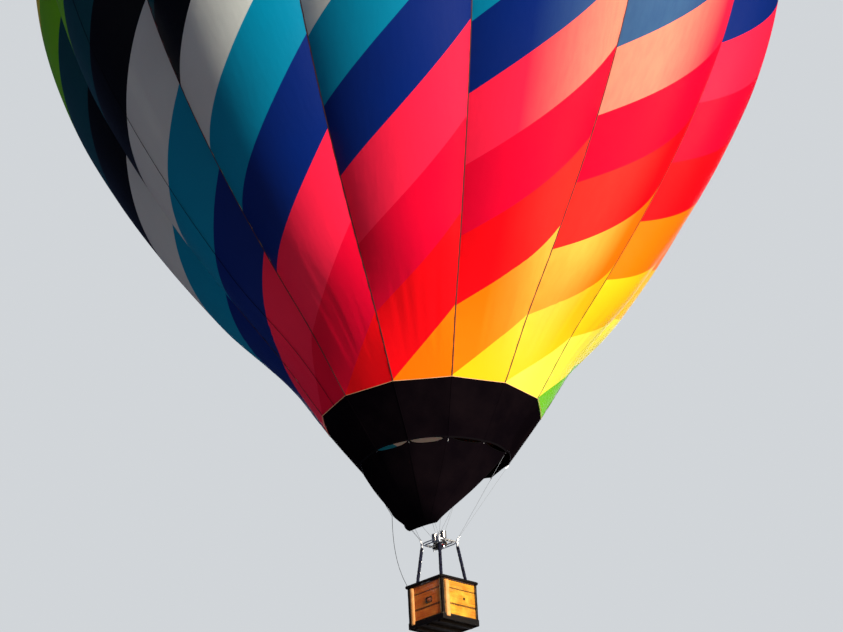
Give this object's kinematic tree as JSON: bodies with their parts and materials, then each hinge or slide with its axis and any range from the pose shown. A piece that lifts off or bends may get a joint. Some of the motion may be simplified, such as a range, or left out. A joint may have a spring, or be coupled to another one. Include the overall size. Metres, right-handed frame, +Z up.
{
  "type": "hot air balloon",
  "caption": "Hot air balloon: bulged gore envelope, dark scoop, gimballed burner on padded uprights and an open wicker basket.",
  "frame": {"origin": "centre of the basket's underside, on the runners, where the balloon is held while it floats", "axes": "+Z up along the envelope's axis, -Y towards the scoop's front, X and Y along the basket's sides"},
  "size_m": [19.9322, 19.9322, 25.9703],
  "materials": {
    "envelope_fabric": "coated ripstop, slightly see-through",
    "black_fabric": "matt flame resistant cloth",
    "tape": "woven load tape",
    "ring_metal": "satin",
    "wire_metal": "stranded wire",
    "frame_metal": "satin",
    "burner_metal": "bright",
    "block_metal": "dark, satin",
    "upright_cover": "padded dark navy cover",
    "rim_leather": "padded, near black",
    "wicker": "varnished woven cane",
    "corner_leather": "dark brown",
    "strip_hide": "pale hide over padding",
    "floor_wood": "plywood and hardwood",
    "cylinder_metal": "satin"
  },
  "bodies": {
    "basket_and_envelope": {"gore_01": "envelope_fabric", "gore_02": "envelope_fabric", "gore_03": "envelope_fabric", "gore_04": "envelope_fabric", "gore_05": "envelope_fabric", "gore_06": "envelope_fabric", "gore_07": "envelope_fabric", "gore_08": "envelope_fabric", "gore_09": "envelope_fabric", "gore_10": "envelope_fabric", "gore_11": "envelope_fabric", "gore_12": "envelope_fabric", "base_band": "black_fabric", "scoop": "black_fabric", "crown_tapes": "tape", "crown_ring": "ring_metal", "burner_frame": "frame_metal", "flying_wires_a": "wire_metal", "flying_wires_b": "wire_metal", "flying_wires_c": "wire_metal", "flying_wires_d": "wire_metal", "upright_a": "upright_cover", "upright_b": "upright_cover", "upright_c": "upright_cover", "upright_d": "upright_cover", "basket_rim": "rim_leather", "wall_front": "wicker", "wall_back": "wicker", "wall_right": "wicker", "wall_left": "wicker", "corner_a": "corner_leather", "corner_b": "corner_leather", "corner_c": "corner_leather", "corner_d": "corner_leather", "leather_skirt": "corner_leather", "hide_strip_front": "strip_hide", "hide_strip_right": "strip_hide", "hide_strip_back": "strip_hide", "hide_strip_left": "strip_hide", "floor": "floor_wood", "fuel_cylinder_a": "cylinder_metal", "fuel_cylinder_b": "cylinder_metal", "fuel_cylinder_c": "cylinder_metal", "fuel_cylinder_d": "cylinder_metal"},
    "gimbal": {"gimbal_ring": "frame_metal"},
    "burner": {"burner_block": "block_metal", "burner_can_1": "burner_metal", "burner_can_2": "burner_metal"},
    "vent": {"parachute_vent": "envelope_fabric"}
  },
  "joints": [
    {"name": "gimbal_turn", "type": "hinge", "parent": "basket_and_envelope", "child": "gimbal", "pos_m": [0, 0, 2.21], "axis": [1, 0, 0], "range_deg": [-15, 15]},
    {"name": "burner_turn", "type": "hinge", "parent": "gimbal", "child": "burner", "pos_m": [0, 0, 2.21], "axis": [0, 1, 0], "range_deg": [-15, 15]},
    {"name": "vent_slide", "type": "slide", "parent": "basket_and_envelope", "child": "vent", "axis": [0, 0, -1], "range_m": [0, 1.2], "stiffness_N_per_m": 150, "springref_m": -0.6}
  ]
}
